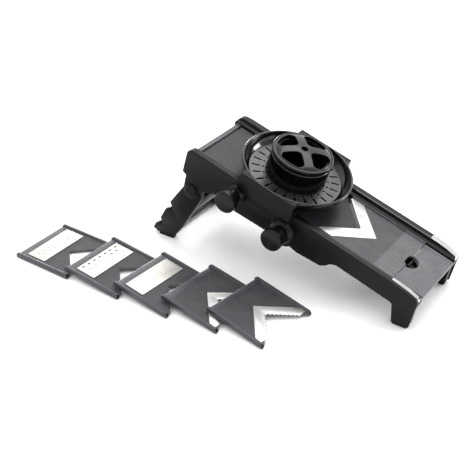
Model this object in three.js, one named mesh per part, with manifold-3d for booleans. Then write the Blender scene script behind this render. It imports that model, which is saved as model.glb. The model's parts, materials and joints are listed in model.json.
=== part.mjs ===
// Mandoline slicer with a sliding food holder, a folding rear leg and five
// loose interchangeable inserts.
//
// Units are millimetres and +Z is up. X runs along the slicer: the raised end
// with the folding leg is at -X, the low end with the fixed feet is at +X. The
// side with the two knobs faces -Y. The slicer itself is built in its own
// "deck" frame, where the plates lie in Z = 0, and is then tilted as it stands.
import * as THREE from 'three';
import { mergeVertices } from 'three/addons/utils/BufferGeometryUtils.js';
import Module from 'manifold-3d';

const wasm = await Module();
wasm.setup();

// ---------------------------------------------------------------- dimensions
const GAP = 0.3; // clearance left between touching pieces

// frame
const TILT = THREE.MathUtils.degToRad(17);
const DECK_HEIGHT = 102.3; // deck above the table at mid-length
const RAIL_OUT = 70; // half the width over the side walls
const RAIL_IN = 52.5; // half the clear width between the rails
const RAIL_TOP = 10;
const RAIL_BOTTOM = -8;
const WALL_IN = 66.5; // inner face of the side wall panels

// folding leg
const LEG_PIVOT = new THREE.Vector2(-174.9, -56.5); // deck X, Z
const LEG_EAR_R = 13.5;
const PIN_R = 4.5;

// ramp and blades
const RAMP_HINGE_X = -187;
const RAMP_DROP = 0.0103; // resting angle below the deck, in radians
const RAMP_TIP_X = 55.5;
const V_OUTER_X = 90.5; // outer corner of the fitted blade
const V_INNER_X = 59.4; // cutting corner of the fitted blade
const V_SLOPE = 0.84; // run of the cutting edge along X for each mm across
const LANDING_END_X = 145.7;
const PLATE_T = 3.3;
const LANDING_LIFT = 1.5; // landing plate above the ramp's hinge level
const HALF_PLATE = 51.6;

// knobs
const HEIGHT_KNOB = new THREE.Vector2(-20, -23); // slice thickness dial
const LOCK_KNOB = new THREE.Vector2(-104, -12); // ramp lock
const KNOB_R = 16.6;
const GRIP_IN = -91; // back and face of a knob's grip
const GRIP_OUT = -102;
const SHAFT_R = 3.2;

// food holder
const HOLDER_X = -56.8;
const HOLDER_HALF_L = 44.7;
const HOLDER_HALF_W = 81;
const HOLDER_TOP = 33.5;
const DISH_R = 82.5;
const DISH_FLOOR = 17.8;
const TUBE_R = 44.4;
const TUBE_TOP = 53;
const CAP_R = 45;
const CAP_RIM = 60; // top of the cap's rim; its middle is domed above it
const CAP_TOP = 67;

// loose inserts
const INSERT_L = 103.6;
const INSERT_HALF_W = 51.3;
const INSERT_RAIL = 4.8;
const INSERT_H = 7.6;
const INSERT_DECK = 5.4; // plate top above the insert's underside

// ----------------------------------------------------------------- materials
/** A material of the given colour, roughness and metalness. */
function finish(color, roughness, metalness = 0) {
  return new THREE.MeshStandardMaterial({ color, roughness, metalness });
}
const BLACK_ABS = () => finish('#17181a', 0.42);
const RIBBED_ABS = () => finish('#232427', 0.6);
const GREY_ABS = () => finish('#4a4c50', 0.45);
const GLOSS_ABS = () => finish('#0f1012', 0.16);
const STEEL = () => finish('#d3d5d6', 0.24, 1);
const RUBBER = () => finish('#1c1c1d', 0.85);

// ------------------------------------------------------------------- helpers
const group = new THREE.Group();

/** Merge the shared corners of a geometry and turn its faces outward. */
function weld(geometry) {
  const bare = geometry.clone();
  bare.deleteAttribute('normal');
  bare.deleteAttribute('uv');
  const merged = mergeVertices(bare, 1e-4);
  const p = merged.attributes.position.array;
  const index = [...merged.index.array];
  const kept = [];
  let volume = 0;
  for (let i = 0; i < index.length; i += 3) {
    const [a, b, c] = [index[i], index[i + 1], index[i + 2]];
    if (a === b || b === c || a === c) continue;
    const [A, B, C] = [a, b, c].map((k) => new THREE.Vector3().fromArray(p, 3 * k));
    volume += A.dot(B.cross(C));
    kept.push(a, b, c);
  }
  if (volume < 0) {
    for (let i = 0; i < kept.length; i += 3) {
      [kept[i + 1], kept[i + 2]] = [kept[i + 2], kept[i + 1]];
    }
  }
  merged.setIndex(kept);
  return merged;
}

/** Turn a closed geometry into a solid for joining and cutting. */
function solid(geometry) {
  const merged = weld(geometry);
  return new wasm.Manifold(new wasm.Mesh({
    numProp: 3,
    vertProperties: new Float32Array(merged.attributes.position.array),
    triVerts: new Uint32Array(merged.index.array),
  }));
}

/** Turn a solid back into a geometry. */
function shell(body) {
  const mesh = body.getMesh();
  const geometry = new THREE.BufferGeometry();
  geometry.setAttribute('position', new THREE.BufferAttribute(mesh.vertProperties, 3));
  geometry.setIndex([...mesh.triVerts]);
  return geometry;
}

/** Join geometries into one. */
function join(...parts) {
  return shell(parts.map(solid).reduce((a, b) => a.add(b)));
}

/** Cut every tool out of a base. */
function cut(base, ...tools) {
  return shell(tools.map(solid).reduce((a, b) => a.subtract(b), solid(base)));
}

/** The part of one geometry that lies in the other. */
function overlap(a, b) {
  return shell(solid(a).intersect(solid(b)));
}

/** A box between two corners. */
function box(x0, x1, y0, y1, z0, z1) {
  const g = new THREE.BoxGeometry(x1 - x0, y1 - y0, z1 - z0);
  return g.translate((x0 + x1) / 2, (y0 + y1) / 2, (z0 + z1) / 2);
}

/** A flat shape through the given points, with optional holes. */
function outline(points, holes = []) {
  const shape = new THREE.Shape(points.map(([u, v]) => new THREE.Vector2(u, v)));
  for (const hole of holes) {
    shape.holes.push(new THREE.Path(hole.map(([u, v]) => new THREE.Vector2(u, v))));
  }
  return shape;
}

/** Extrude an XY outline from z0 to z1. */
function slab(points, z0, z1, holes = []) {
  const options = { depth: z1 - z0, bevelEnabled: false };
  return new THREE.ExtrudeGeometry(outline(points, holes), options).translate(0, 0, z0);
}

/** Extrude an XZ outline from y0 to y1. */
function panel(points, y0, y1, holes = []) {
  const options = { depth: y1 - y0, bevelEnabled: false };
  const g = new THREE.ExtrudeGeometry(outline(points, holes), options);
  return g.rotateX(Math.PI / 2).translate(0, y1, 0);
}

/** Extrude a YZ outline from x0 to x1. */
function bar(points, x0, x1) {
  const g = new THREE.ExtrudeGeometry(outline(points), { depth: x1 - x0, bevelEnabled: false });
  const turn = new THREE.Matrix4().set(0, 0, 1, x0, 1, 0, 0, 0, 0, 1, 0, 0, 0, 0, 0, 1);
  return g.applyMatrix4(turn);
}

/** Points of a circular arc, in degrees, both ends included. */
function arc(cu, cv, r, from, to, steps) {
  return Array.from({ length: steps + 1 }, (_, i) => {
    const a = THREE.MathUtils.degToRad(from + ((to - from) * i) / steps);
    return [cu + r * Math.cos(a), cv + r * Math.sin(a)];
  });
}

/** Points of a full circle. */
function circle(cu, cv, r, steps) {
  return arc(cu, cv, r, 0, 360 - 360 / steps, steps - 1);
}

/** A cylinder along Y. */
function rodY(x, z, r, y0, y1, sides = 20) {
  return new THREE.CylinderGeometry(r, r, y1 - y0, sides).translate(x, (y0 + y1) / 2, z);
}

/** Turn an [r, z] profile about a vertical axis through (x, 0). */
function turnedZ(profile, x, sides) {
  const points = profile.map(([r, z]) => new THREE.Vector2(r, z));
  return new THREE.LatheGeometry(points, sides).rotateX(Math.PI / 2).translate(x, 0, 0);
}

/** Turn an [r, y] profile about the Y line through (x, z). */
function turnedY(profile, x, z, sides) {
  const points = profile.map(([r, y]) => new THREE.Vector2(r, y));
  return new THREE.LatheGeometry(points, sides).translate(x, 0, z);
}

/** The same geometry on the other side of the XZ plane. */
function mirrored(geometry) {
  return geometry.clone().scale(1, -1, 1);
}

/** Add a named piece to a group. */
function add(parent, name, geometry, material) {
  const mesh = new THREE.Mesh(weld(geometry), material);
  mesh.name = name;
  mesh.geometry.computeVertexNormals();
  parent.add(mesh);
  return mesh;
}

// --------------------------------------------------------------------- frame
const deck = new THREE.Group();
deck.rotation.y = TILT;
deck.position.z = DECK_HEIGHT;
group.add(deck);

/** Deck Z of the horizontal plane at a height above the table. */
function deckZ(x, height) {
  return (height - DECK_HEIGHT + x * Math.sin(TILT)) / Math.cos(TILT);
}

// side view of a rail with its wall, from the low end round to the raised end
const FOOT_LIFT = 3.4; // rubber pad under the foot
const wallOutline = [
  [194, 3], [195, -10], [198, deckZ(198, FOOT_LIFT + 0.6)],
  [173.5, deckZ(173.5, FOOT_LIFT + 0.6)], [163.5, -22.5], [160, -21],
  [72, -20.5], [64, -24], [57, -32], [50, -37.5], [11, -41.5],
  ...arc(HEIGHT_KNOB.x, HEIGHT_KNOB.y, 24.5, -42, -138, 8),
  [-61, -40.4], [-102, -42.5], [-137, -36], [-150, -43.5], [-162, -50],
  ...arc(LEG_PIVOT.x, LEG_PIVOT.y, LEG_EAR_R, -10, -170, 10),
  [-189, -50], [-190, -36], [-197, -33], [-198, 1], [-196, 6], [-190, 9],
  [-180, RAIL_TOP], [150, RAIL_TOP], [175, 8.2], [190, 5.5],
];
const railSection = [
  [RAIL_IN, RAIL_BOTTOM], [RAIL_OUT, RAIL_BOTTOM], [RAIL_OUT, 8.2], [68.4, RAIL_TOP],
  [61, RAIL_TOP], [59.4, 9.2], [58.4, 4.4], [54, 3.4], [RAIL_IN, 2.6],
];

/** One side rail: rail, wall, foot, leg ear and the ledge for the plates. */
function sideRail() {
  const wholeWidth = panel(wallOutline, 50, 71);
  const rail = overlap(bar(railSection, -199, 195), wholeWidth);
  const wall = panel(wallOutline, WALL_IN, RAIL_OUT);
  const ledge = box(18, 146, 46.5, RAIL_IN + 1, RAIL_BOTTOM, -2.2);
  const footBlock = panel([
    [192, RAIL_BOTTOM + 1], [196.5, deckZ(196.5, FOOT_LIFT)],
    [174.5, deckZ(174.5, FOOT_LIFT)], [166, RAIL_BOTTOM + 1],
  ], 54, RAIL_OUT - 1);
  const boss = rodY(LOCK_KNOB.x, LOCK_KNOB.y, 7, 60, RAIL_OUT - 1);
  const lowBoss = rodY(HEIGHT_KNOB.x, HEIGHT_KNOB.y, 7.5, 60, RAIL_OUT - 1);
  return join(rail, wall, ledge, footBlock, boss, lowBoss);
}

const bores = [
  rodY(RAMP_HINGE_X, -4, 2.6, 40, 68),
  rodY(LEG_PIVOT.x, LEG_PIVOT.y, PIN_R + GAP, 40, 75),
];
const farBores = [
  rodY(HEIGHT_KNOB.x, HEIGHT_KNOB.y, SHAFT_R + GAP, 50, 66),
  rodY(LOCK_KNOB.x, LOCK_KNOB.y, SHAFT_R + GAP, 50, 66),
];
const nearBores = [
  rodY(HEIGHT_KNOB.x, HEIGHT_KNOB.y, SHAFT_R + GAP, 50, 75),
  rodY(LOCK_KNOB.x, LOCK_KNOB.y, SHAFT_R + GAP, 50, 75),
];
const plainRail = sideRail();
add(deck, 'side_rail_far', cut(plainRail, ...bores, ...farBores), BLACK_ABS());
add(deck, 'side_rail_near', mirrored(cut(plainRail, ...bores, ...nearBores)), BLACK_ABS());

// cross members between the walls
const CROSS_Y = WALL_IN - GAP;
const upperMember = [
  [-194.5, -9], [-190.5, -9], [-190.5, -29], [-184, -29], [-184, -32], [-194.5, -32],
];
add(deck, 'upper_cross_member', panel(upperMember, -CROSS_Y, CROSS_Y), BLACK_ABS());
add(deck, 'middle_cross_member', box(127, 132, -CROSS_Y, CROSS_Y, -24, -8.4), BLACK_ABS());
const latchTray = box(146.6, 180, -17, 17, -12.6, -10.4); // closes the finger notch from below
const lowerMember = join(box(155, 159, -CROSS_Y, CROSS_Y, -20, -10.4), latchTray);
add(deck, 'lower_cross_member', lowerMember, BLACK_ABS());

// fixed plate at the low end, with the finger notch in its upper edge
const NOTCH_R = 14;
const endPlate = slab([
  [194, -HALF_PLATE - 0.5], [194, HALF_PLATE + 0.5], [146.3, HALF_PLATE + 0.5],
  [146.3, NOTCH_R], ...arc(146.3, 0, NOTCH_R, 80, -80, 14), [146.3, -NOTCH_R],
  [146.3, -HALF_PLATE - 0.5],
], -6, 0);
add(deck, 'end_plate', endPlate, RIBBED_ABS());

// rubber pads under the fixed feet, level with the table
/** A pad under a fixed foot, between two Y values. */
function frontPad(y0, y1) {
  const bottom = 0;
  return panel([
    [196, deckZ(196, FOOT_LIFT - GAP)], [196, deckZ(196, bottom)],
    [175, deckZ(175, bottom)], [175, deckZ(175, FOOT_LIFT - GAP)],
  ], y0, y1);
}
add(deck, 'front_pad_near', frontPad(-68, -55), RUBBER());
add(deck, 'front_pad_far', frontPad(55, 68), RUBBER());

// ----------------------------------------------------------------- rear leg
// The leg is drawn about its pivot, standing on the table.
const leg = new THREE.Group();
const pivot = new THREE.Vector3(LEG_PIVOT.x, 0, LEG_PIVOT.y)
  .applyAxisAngle(new THREE.Vector3(0, 1, 0), TILT);
leg.position.set(pivot.x, 0, pivot.z + DECK_HEIGHT);
group.add(leg);
const LEG_FLOOR = -leg.position.z;
const LEG_OUT = WALL_IN - GAP;
const LEG_IN = 57.2;
const legOutline = [
  [-15.5, 2], ...arc(0, 0, 13, 150, 15, 9), [15, -11.1], [11, -18.8], [-22, -74],
  [-34.5, -90.2], [-39.5, LEG_FLOOR + 3.3], [-68.5, LEG_FLOOR + 3.3], [-78, -92],
  [-73, -82.5], [-64.5, -77.5], [-62.5, -80.5], [-59.5, -78.5], [-63, -69],
  [-52, -49.5], [-43.5, -45.5], [-41.5, -48.5], [-38.5, -46.5], [-43, -35],
];

/** One leg arm with its pin bore. */
function legArm() {
  return cut(panel(legOutline, LEG_IN, LEG_OUT), rodY(0, 0, PIN_R + GAP, 50, 70));
}
add(leg, 'leg_arm_far', legArm(), BLACK_ABS());
add(leg, 'leg_arm_near', mirrored(legArm()), BLACK_ABS());
const LEG_BAR = LEG_IN - GAP;
const topBar = [[12.5, -14], [8, -12], [-9, -40], [-6, -43.5], [-3, -42], [12.5, -17]];
add(leg, 'leg_top_bar', panel(topBar, -LEG_BAR, LEG_BAR), GREY_ABS());
const footBar = [[-45, -93], [-66, -93], [-70, -87], [-66.5, -84], [-63, -88], [-46, -88]];
add(leg, 'leg_foot_bar', panel(footBar, -LEG_BAR, LEG_BAR), BLACK_ABS());
const legPad = [[-40, LEG_FLOOR], [-40, LEG_FLOOR + 3], [-66, LEG_FLOOR + 3], [-66, LEG_FLOOR]];
add(leg, 'leg_pad_near', panel(legPad, -LEG_OUT, -LEG_IN), RUBBER());
add(leg, 'leg_pad_far', panel(legPad, LEG_IN, LEG_OUT), RUBBER());

const pinProfile = [
  [0, 56.5], [PIN_R, 56.5], [PIN_R, RAIL_OUT + GAP], [11, RAIL_OUT + GAP],
  [11, RAIL_OUT + 1.3], [9.6, RAIL_OUT + 2.2], [0, RAIL_OUT + 2.2],
];
const pin = turnedY(pinProfile, LEG_PIVOT.x, LEG_PIVOT.y, 24);
add(deck, 'leg_pin_far', pin, GLOSS_ABS());
add(deck, 'leg_pin_near', mirrored(pin), GLOSS_ABS());

// ------------------------------------------------------------- feeding ramp
const ramp = new THREE.Group();
ramp.position.set(RAMP_HINGE_X, 0, 0);
ramp.rotation.y = RAMP_DROP;
deck.add(ramp);
const TIP = RAMP_TIP_X - RAMP_HINGE_X;
const rampPlate = slab([
  [2, -HALF_PLATE], [TIP - V_SLOPE * HALF_PLATE, -HALF_PLATE], [TIP, 0],
  [TIP - V_SLOPE * HALF_PLATE, HALF_PLATE], [2, HALF_PLATE],
], -PLATE_T, 0);
const stiffener = box(20, 190, -1.5, 1.5, -6.4, -PLATE_T + 0.5);
const knuckle = rodY(0, -4, 4.4, -HALF_PLATE, HALF_PLATE, 18);
const hingeBridge = box(0, 4, -HALF_PLATE, HALF_PLATE, -PLATE_T, -0.2);
const rampBody = cut(
  join(rampPlate, knuckle, hingeBridge, stiffener),
  rodY(0, -4, 2.6, -60, 60),
  box(78, 92, -5, 5, -7, -PLATE_T),
);
add(ramp, 'feed_ramp', rampBody, RIBBED_ABS());
add(ramp, 'ramp_lip', box(-5.5, 1.5, -HALF_PLATE, HALF_PLATE, 0.5, 2.2), GREY_ABS());
add(deck, 'ramp_hinge_rod', rodY(RAMP_HINGE_X, -4, 2.2, -67.6, 67.6, 16), STEEL());

// --------------------------------------------------- landing plate and blade
const ARM_Y = 50.2;
const bladeOutline = [
  [V_OUTER_X, 0], [V_OUTER_X - ARM_Y, ARM_Y], [22, ARM_Y], [V_INNER_X - V_SLOPE * 46, 46],
  [V_INNER_X - V_SLOPE * 4, 4], ...arc(V_INNER_X - 0.4, 0, 4.2, 96, -96, 8).reverse()
    .map(([u, v]) => [u, -v]).slice(1, -1), [V_INNER_X - V_SLOPE * 4, -4],
  [V_INNER_X - V_SLOPE * 46, -46], [22, -ARM_Y], [V_OUTER_X - ARM_Y, -ARM_Y],
];
const bladePocket = [
  [V_OUTER_X + 0.4, 0], [V_OUTER_X - ARM_Y + 0.2, ARM_Y + 0.3], [10, ARM_Y + 0.3],
  [10, -ARM_Y - 0.3], [V_OUTER_X - ARM_Y + 0.2, -ARM_Y - 0.3],
];
const landingOutline = [
  [LANDING_END_X, -HALF_PLATE], [LANDING_END_X, HALF_PLATE], [20, HALF_PLATE],
  [20, 48.2], [25, 47.6], [66, 0], [25, -47.6], [20, -48.2], [20, -HALF_PLATE],
];
const landing = join(
  cut(slab(landingOutline, -PLATE_T, 0), slab(bladePocket, -1.2, 1)),
  box(20, LANDING_END_X, 50.6, HALF_PLATE, -PLATE_T, 2.2),
  box(20, LANDING_END_X, -HALF_PLATE, -50.6, -PLATE_T, 2.2),
);
const fitted = new THREE.Group();
fitted.position.z = LANDING_LIFT;
deck.add(fitted);
add(fitted, 'landing_plate', landing, RIBBED_ABS());
add(fitted, 'v_blade', slab(bladeOutline, -0.9, 0.3), STEEL());
const rivet = [[0, 0.6], [2.1, 0.6], [2.1, 0.9], [1.5, 1.3], [0, 1.3]];
for (const [side, y] of [['near', -26], ['far', 26]]) {
  const head = turnedZ(rivet, V_OUTER_X - Math.abs(y) - 14, 12).translate(0, y, 0);
  add(fitted, `blade_rivet_${side}`, head, STEEL());
}

// release latch that shows in the finger notch
const latch = join(
  box(147.4, 150, -6.5, 6.5, -9.6, -1.4),
  box(147.4, 181, -5, 5, -9.6, -6.4),
);
add(deck, 'insert_latch', latch, BLACK_ABS());

// --------------------------------------------------------------------- knobs
/** A knob with its neck, grip and blind shaft bore, facing -Y. */
function knobBody(at, discInner, discOuter) {
  const neck = turnedY([
    [0, discInner - 1], [9.5, discInner - 1], [10.5, -79.5], [12, -78.4], [0, -78.4],
  ], at.x, at.y, 20);
  const lobes = 14;
  const grip = Array.from({ length: lobes * 4 }, (_, i) => {
    const a = (i / (lobes * 4)) * 2 * Math.PI;
    const r = KNOB_R - (i % 4 === 0 ? 1.3 : i % 4 === 2 ? 0 : 0.45);
    return [at.x + r * Math.cos(a), at.y + r * Math.sin(a)];
  });
  const disc = panel(grip, discOuter, discInner);
  const rim = turnedY([
    [0, discOuter + 0.5], [15, discOuter + 0.5], [14, discOuter - 1.2], [0, discOuter - 1.2],
  ], at.x, at.y, 24);
  const bore = rodY(at.x, at.y, SHAFT_R + GAP, discInner - 2, -60);
  return cut(join(neck, disc, rim), bore);
}

/** A dished flange fixed to the wall behind a knob. */
function flange(at, r, thickness) {
  return turnedY([
    [SHAFT_R + 0.6, -RAIL_OUT - GAP], [r, -RAIL_OUT - GAP], [r, -RAIL_OUT - 1.6],
    [r - 2, -RAIL_OUT - thickness / 2], [r - 6, -RAIL_OUT - thickness],
    [SHAFT_R + 0.6, -RAIL_OUT - thickness],
    [SHAFT_R + 0.6, -RAIL_OUT - GAP],
  ], at.x, at.y, 28);
}

/** A cam whose radius falls from its top as the shaft is turned. */
function cam(at, top, fall, y0, y1) {
  const steps = 30;
  const points = Array.from({ length: steps }, (_, i) => {
    const a = (i / steps) * 360;
    const share = THREE.MathUtils.clamp(a / 165, 0, 1);
    const back = THREE.MathUtils.clamp((a - 270) / 70, 0, 1);
    const r = top - fall * (a < 270 ? share : 1 - back);
    const t = THREE.MathUtils.degToRad(90 + a);
    return [at.x + r * Math.cos(t), at.y + r * Math.sin(t)];
  });
  return panel(points, y0, y1);
}
const SHAFT_FAR = 64;
add(deck, 'height_knob', knobBody(HEIGHT_KNOB, GRIP_IN, GRIP_OUT), BLACK_ABS());
add(deck, 'height_knob_flange', flange(HEIGHT_KNOB, 19.5, 8), GLOSS_ABS());
const CAM_TOP = 17.4;
const heightShaft = join(
  rodY(HEIGHT_KNOB.x, HEIGHT_KNOB.y, SHAFT_R, GRIP_IN - 1, SHAFT_FAR),
  cam(HEIGHT_KNOB, CAM_TOP, 6, -38, -30),
  cam(HEIGHT_KNOB, CAM_TOP, 6, 30, 38),
);
add(deck, 'height_shaft', heightShaft, GREY_ABS());
add(deck, 'lock_knob', knobBody(LOCK_KNOB, GRIP_IN, GRIP_OUT), BLACK_ABS());
add(deck, 'lock_knob_flange', flange(LOCK_KNOB, 15.5, 8), GLOSS_ABS());
const lockShaft = join(
  rodY(LOCK_KNOB.x, LOCK_KNOB.y, SHAFT_R, GRIP_IN - 1, SHAFT_FAR),
  box(LOCK_KNOB.x - 2, LOCK_KNOB.x + 2, -44, -34, -26, -10),
  box(LOCK_KNOB.x - 2, LOCK_KNOB.x + 2, 34, 44, -26, -10),
);
add(deck, 'lock_shaft', lockShaft, GREY_ABS());

// --------------------------------------------------------------- food holder
const holder = new THREE.Group();
holder.position.x = HOLDER_X;
deck.add(holder);
const bowl = turnedZ([
  [42.6, 12], [62, 12], [73, 15.5], [79, 22], [DISH_R - 0.8, 30], [DISH_R, 31.5],
  [DISH_R, HOLDER_TOP], [78.8, HOLDER_TOP], [76.4, 26.5], [69.6, DISH_FLOOR],
  [42.6, DISH_FLOOR], [42.6, 12],
], 0, 56);
const dish = overlap(bowl, box(-90, 90, -HOLDER_HALF_W, HOLDER_HALF_W, 0, 50));
const ears = cut(
  box(-HOLDER_HALF_L, HOLDER_HALF_L, -HOLDER_HALF_W, HOLDER_HALF_W, 27, HOLDER_TOP),
  new THREE.CylinderGeometry(81, 81, 30, 56).rotateX(Math.PI / 2).translate(0, 0, 30),
);
const corners = [-1, 1].map((s) => box(
  -HOLDER_HALF_L, HOLDER_HALF_L,
  s < 0 ? -HOLDER_HALF_W : 78.4, s < 0 ? -78.4 : HOLDER_HALF_W, 5, HOLDER_TOP,
));
const shoes = [];
for (const sx of [-1, 1]) {
  for (const sy of [-1, 1]) {
    const x0 = sx < 0 ? -HOLDER_HALF_L : HOLDER_HALF_L - 9;
    const y = sy < 0 ? [-79, -70.5] : [70.5, 79];
    shoes.push(box(x0, x0 + 9, y[0], y[1], 5, 20));
    const top = sy < 0 ? [-79, -60] : [60, 79];
    shoes.push(box(x0, x0 + 9, top[0], top[1], RAIL_TOP + GAP, 20));
  }
}
add(holder, 'holder_saddle', join(dish, ears, ...corners, ...shoes), GLOSS_ABS());
const rimBead = turnedZ([
  [79, HOLDER_TOP + GAP], [DISH_R, HOLDER_TOP + GAP], [DISH_R - 0.8, HOLDER_TOP + 1.7],
  [79.8, HOLDER_TOP + 1.7], [79, HOLDER_TOP + GAP],
], 0, 56);
const rimTrim = box(-90, 90, -HOLDER_HALF_W, HOLDER_HALF_W, 30, 40);
add(holder, 'holder_rim', overlap(rimBead, rimTrim), GREY_ABS());

const SLOT_TURN = THREE.MathUtils.degToRad(1.5);

/** Radial slots as hole outlines. */
function radialSlots(count, r0, r1, width) {
  return Array.from({ length: count }, (_, i) => {
    const a = (i / count) * 2 * Math.PI + SLOT_TURN;
    const h = width / 2;
    return [[r0, -h], [r1, -h], [r1, h], [r0, h]].map(([u, v]) => [
      u * Math.cos(a) - v * Math.sin(a), u * Math.sin(a) + v * Math.cos(a),
    ]);
  });
}
const slots = [...radialSlots(24, 52.6, 65.4, 2.8), ...radialSlots(24, 46.2, 50.8, 2.8)];
const slotted = cut(
  turnedZ([[43, 18.1], [69.2, 18.1], [69.2, 20.2], [43, 20.2], [43, 18.1]], 0, 48),
  ...slots.map((slot) => slab(slot, 17, 22)),
);
add(holder, 'slotted_ring', slotted, GREY_ABS());
add(holder, 'guide_tube', turnedZ([
  [39, 13], [41, 13], [41, 20.5], [TUBE_R, 20.5], [TUBE_R, TUBE_TOP - 2.6],
  [TUBE_R - 1.4, TUBE_TOP], [39, TUBE_TOP], [39, 13],
], 0, 48), GLOSS_ABS());

// pusher: cap with finger holes, sleeve and prong plate
/** A rounded-triangle finger hole in the cap, centred on the given angle. */
function fingerHole(angle) {
  const points = [
    ...arc(29.6, 10.2, 8, 5, 110, 5), ...arc(20.5, 0, 8, 140, 220, 4),
    ...arc(29.6, -10.2, 8, 250, 355, 5),
  ];
  return points.map(([u, v]) => [
    u * Math.cos(angle) - v * Math.sin(angle), u * Math.sin(angle) + v * Math.cos(angle),
  ]);
}
const dome = turnedZ([
  [0, CAP_TOP - 3], [24, CAP_TOP - 4.6], [39.8, CAP_RIM - 3], [39.8, TUBE_TOP + GAP],
  [CAP_R - 0.8, TUBE_TOP + GAP], [CAP_R, TUBE_TOP + 1.2], [CAP_R, CAP_RIM - 2.2],
  [CAP_R - 2, CAP_RIM], [39.5, CAP_RIM + 1.4], [22, CAP_TOP - 1.4], [0, CAP_TOP],
], 0, 48);
const cap = cut(
  dome,
  slab(circle(0, 0, 5.2, 20), CAP_RIM - 4, CAP_TOP + 2),
  ...[0, 1, 2, 3].map((i) => slab(fingerHole((i * Math.PI) / 2), CAP_RIM - 4, CAP_TOP + 2)),
);
add(holder, 'pusher_cap', cap, GLOSS_ABS());
add(holder, 'pusher_sleeve', turnedZ([
  [36, 17.2], [38.5, 17.2], [38.5, CAP_RIM - 3.6], [36, CAP_RIM - 3.6], [36, 17.2],
], 0, 48), BLACK_ABS());
const prongs = [];
for (let i = 0; i < 8; i += 1) {
  const a = ((i + 0.5) / 8) * 2 * Math.PI;
  const cone = new THREE.ConeGeometry(1.6, 7, 8).rotateX(-Math.PI / 2);
  prongs.push(cone.translate(24 * Math.cos(a), 24 * Math.sin(a), 10.8));
}
const prongDisc = turnedZ([[0, 13.6], [37.8, 13.6], [37.8, 16.9], [0, 16.9]], 0, 48);
add(holder, 'prong_plate', join(prongDisc, ...prongs), BLACK_ABS());

// -------------------------------------------------------------- loose inserts
// Each insert is drawn with the middle of its open end at the origin and its
// solid end toward -X, then laid on the table with its solid end on the
// insert before it.
const NOTCH_X = -43.5;

/** Two runners with rounded tips. */
function insertRails() {
  const side = [
    [-INSERT_L, 1.4], [-INSERT_L + 1.6, 0], [-1.6, 0], [0, 1.6], [0, 4.6], [-3, INSERT_H],
    [-INSERT_L + 3, INSERT_H], [-INSERT_L, INSERT_H - 2.4],
  ];
  const y0 = INSERT_HALF_W - INSERT_RAIL;
  return [panel(side, y0, INSERT_HALF_W), panel(side, -INSERT_HALF_W, -y0)];
}

/** The plate of an insert with its V-shaped open end at x = corner. */
function insertPlate(corner, windows = [], pocket = null) {
  const y = INSERT_HALF_W - INSERT_RAIL + 0.5;
  const reach = -corner - 1.5;
  const edge = Math.min(reach, y - 2);
  const plate = slab([
    [-INSERT_L + 2, -y], [-INSERT_L + 2, y], [-1.5, y], [corner + edge, edge], [corner, 0],
    [corner + edge, -edge], [-1.5, -y],
  ], INSERT_DECK - 3, INSERT_DECK, windows);
  const body = pocket ? cut(plate, pocket) : plate;
  return join(body, ...insertRails());
}

/** A rectangle outline. */
function rectangle(x0, x1, y0, y1) {
  return [[x0, y0], [x1, y0], [x1, y1], [x0, y1]];
}

const GRATER = { x0: -88, x1: -54, y: 42 };

/** A perforated steel panel set into an insert. */
function graterPanel(rows, columns, hole) {
  const { x0, x1, y } = GRATER;
  const pitchX = (x1 - x0 - 4) / rows;
  const pitchY = (2 * y - 6) / columns;
  const openings = [];
  for (let i = 0; i < rows; i += 1) {
    for (let j = 0; j < columns - (i % 2); j += 1) {
      const u = x0 + 2 + pitchX * (i + 0.5);
      const v = -y + 3 + pitchY * (j + 0.5 + 0.5 * (i % 2));
      openings.push(hole(u, v));
    }
  }
  const sheet = box(x0, x1, -y, y, INSERT_DECK + GAP, INSERT_DECK + 1.2);
  return cut(sheet, ...openings.map((o) => slab(o, INSERT_DECK - 1, INSERT_DECK + 2)));
}

/** Half-moon hole, flat side toward the open end. */
function halfMoon(r) {
  return (u, v) => arc(u + r / 2, v, r, 90, 270, 5);
}

/** Round hole with the given number of sides. */
function roundHole(r, sides) {
  return (u, v) => circle(u, v, r, sides);
}

/** A V blade, plain or toothed along its cutting edge. */
function insertBlade(teeth) {
  const outer = -63;
  const inner = -43;
  const half = 46;
  const tip = -7;
  const reach = tip - inner;
  const edge = [];
  if (teeth > 0) {
    for (let i = 0; i < teeth; i += 1) {
      const a = (i / teeth) * reach;
      const b = ((i + 0.5) / teeth) * reach;
      edge.push([inner + a, a], [inner + b + 1.9, b - 1.9]);
    }
  } else {
    edge.push([inner, 0]);
  }
  edge.push([tip, reach]);
  const far = [...edge, [tip, half], [outer + half, half]];
  const near = far.slice(1).map(([u, v]) => [u, -v]).reverse();
  return [...near, ...far, [outer, 0]];
}

/** The blade's shallow seat in the plate. */
function bladeSeat() {
  return slab([
    [-63.4, 0], [-17, 46.4], [2, 46.4], [2, -46.4], [-17, -46.4],
  ], INSERT_DECK - 0.9, INSERT_DECK + 1);
}

/** Place an insert's group on the table. */
function layInsert(x, y, yaw, pitch) {
  const g = new THREE.Group();
  g.position.set(x, y, 0);
  const toRad = THREE.MathUtils.degToRad;
  g.rotation.set(0, toRad(pitch), toRad(yaw), 'ZYX');
  group.add(g);
  return g;
}
const windowOutline = rectangle(GRATER.x0 + 3, GRATER.x1 - 3, -GRATER.y + 3, GRATER.y - 3);
const graters = [
  { key: 'coarse', at: [-280.7, -189.5, -1, 0], panel: graterPanel(4, 9, halfMoon(2.9)) },
  { key: 'medium', at: [-187.4, -186.8, -2.6, 4.7], panel: graterPanel(4, 10, roundHole(2.2, 6)) },
  { key: 'fine', at: [-101.8, -182.7, -5.4, 5.3], panel: graterPanel(4, 13, roundHole(1.4, 5)) },
];
for (const { key, at, panel: sheet } of graters) {
  const g = layInsert(...at);
  add(g, `insert_${key}_plate`, insertPlate(NOTCH_X, [windowOutline]), RIBBED_ABS());
  add(g, `insert_${key}_panel`, sheet, STEEL());
}
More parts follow.
